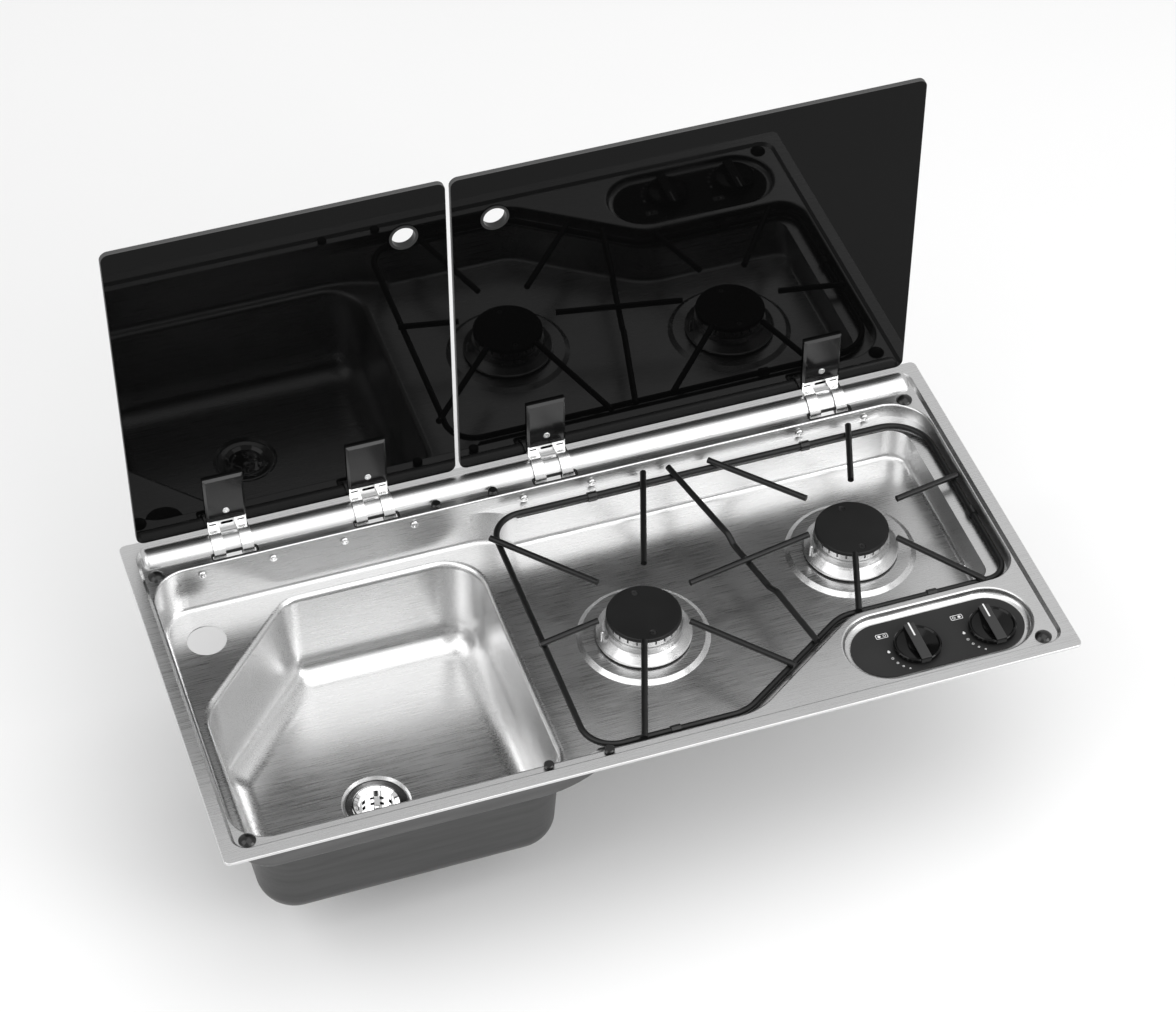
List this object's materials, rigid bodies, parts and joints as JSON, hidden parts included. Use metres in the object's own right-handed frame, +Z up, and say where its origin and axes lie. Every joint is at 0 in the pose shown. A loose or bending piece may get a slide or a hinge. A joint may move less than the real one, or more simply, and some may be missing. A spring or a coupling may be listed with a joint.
{
  "type": "combined hob and sink",
  "caption": "Built-in steel unit for a caravan or small kitchen: sink bowl with drain and gas hob with wire pan support, under hinged black glass lids.",
  "frame": {"origin": "centre of the rim, in the plane of the worktop that the rim rests on", "axes": "+Z up, +X along the rim to the user's right, -Y towards the user; the lids stand along the +Y edge"},
  "size_m": [0.8, 0.4, 0.5765],
  "materials": {
    "deck_steel": "brushed stainless steel sheet",
    "bowl_steel": "satin stainless steel sheet",
    "polished_steel": "polished",
    "mirror_steel": "mirror polished",
    "plated_steel": "zinc plated",
    "hinge_steel": "satin bright steel",
    "bright_screw": "bright plated",
    "probe_steel": "ground steel",
    "gas_tube": "drawn aluminium tube",
    "tap_alloy": "die cast",
    "burner_alloy": "cast aluminium",
    "brass": "turned brass",
    "matte_enamel": "matte black enamel",
    "black_enamel": "satin black enamel",
    "panel_charcoal": "satin charcoal",
    "knob_gloss": "glossy black",
    "cover_gloss": "glossy black",
    "black_plastic": "black plastic",
    "black_rubber": "black rubber",
    "black_seal": "black fibre seal",
    "black_glass": "black toughened glass, polished"
  },
  "bodies": {
    "hob_and_sink": {"deck": "deck_steel", "sink_bowl": "bowl_steel", "rim_seal": "black_rubber", "worktop_clamps": "plated_steel", "clamp_screws": "plated_steel", "drain_flange": "polished_steel", "drain_gasket": "black_rubber", "waste_body": "black_plastic", "waste_nut": "black_plastic", "burner_seals": "black_seal", "cap_screws": "bright_screw", "gas_rail": "gas_tube", "gas_inlet": "gas_tube", "control_panel": "panel_charcoal", "hinge_brackets": "hinge_steel", "hinge_pins": "bright_screw", "wall_screws": "bright_screw", "slot_liners": "black_plastic", "corner_bumpers": "black_rubber", "stop_bumpers": "black_rubber", "burner_body_left": "burner_alloy", "burner_spreader_left": "burner_alloy", "burner_cap_left": "matte_enamel", "injector_holder_left": "brass", "thermocouple_left": "probe_steel", "gas_tap_left": "tap_alloy", "burner_pipe_left": "gas_tube", "burner_body_right": "burner_alloy", "burner_spreader_right": "burner_alloy", "burner_cap_right": "matte_enamel", "injector_holder_right": "brass", "thermocouple_right": "probe_steel", "gas_tap_right": "tap_alloy", "burner_pipe_right": "gas_tube"},
    "left_lid": {"hinge_leaf_1": "hinge_steel", "hinge_leaf_2": "hinge_steel", "hinge_cover_1": "cover_gloss", "hinge_cover_2": "cover_gloss", "hinge_pads_left": "black_rubber", "cover_screws_left": "bright_screw", "lid_glass_left": "black_glass", "lid_grommet_left": "black_plastic"},
    "right_lid": {"hinge_leaf_3": "hinge_steel", "hinge_leaf_4": "hinge_steel", "hinge_cover_3": "cover_gloss", "hinge_cover_4": "cover_gloss", "hinge_pads_right": "black_rubber", "cover_screws_right": "bright_screw", "lid_glass_right": "black_glass", "lid_grommet_right": "black_plastic"},
    "left_knob_push": {"push_washer_left": "plated_steel"},
    "left_knob": {"tap_shaft_left": "plated_steel", "knob_left": "knob_gloss"},
    "right_knob_push": {"push_washer_right": "plated_steel"},
    "right_knob": {"tap_shaft_right": "plated_steel", "knob_right": "knob_gloss"},
    "pan_support": {"pan_support": "black_enamel", "support_feet": "black_rubber"},
    "strainer": {"drain_strainer": "mirror_steel"}
  },
  "joints": [
    {"name": "left_lid_hinge", "type": "hinge", "parent": "hob_and_sink", "child": "left_lid", "pos_m": [0, 0.179, -0.0064], "axis": [1, 0, 0], "range_deg": [0, 90]},
    {"name": "right_lid_hinge", "type": "hinge", "parent": "hob_and_sink", "child": "right_lid", "pos_m": [0, 0.179, -0.0064], "axis": [1, 0, 0], "range_deg": [0, 90]},
    {"name": "left_knob_press", "type": "slide", "parent": "hob_and_sink", "child": "left_knob_push", "axis": [0, 0, 1], "range_m": [-0.002, 0], "stiffness_N_per_m": 1500, "springref_m": 0.001},
    {"name": "left_knob_turn", "type": "hinge", "parent": "left_knob_push", "child": "left_knob", "pos_m": [0.2597, -0.1477, -0.008], "axis": [0, 0, 1], "range_deg": [0, 140]},
    {"name": "right_knob_press", "type": "slide", "parent": "hob_and_sink", "child": "right_knob_push", "axis": [0, 0, 1], "range_m": [-0.002, 0], "stiffness_N_per_m": 1500, "springref_m": 0.001},
    {"name": "right_knob_turn", "type": "hinge", "parent": "right_knob_push", "child": "right_knob", "pos_m": [0.3335, -0.1477, -0.008], "axis": [0, 0, 1], "range_deg": [0, 140]},
    {"name": "pan_support_lift", "type": "slide", "parent": "hob_and_sink", "child": "pan_support", "axis": [0, 0, -1], "range_m": [-0.08, 0]},
    {"name": "strainer_lift", "type": "slide", "parent": "hob_and_sink", "child": "strainer", "axis": [0, 0, -1], "range_m": [-0.04, 0]}
  ]
}
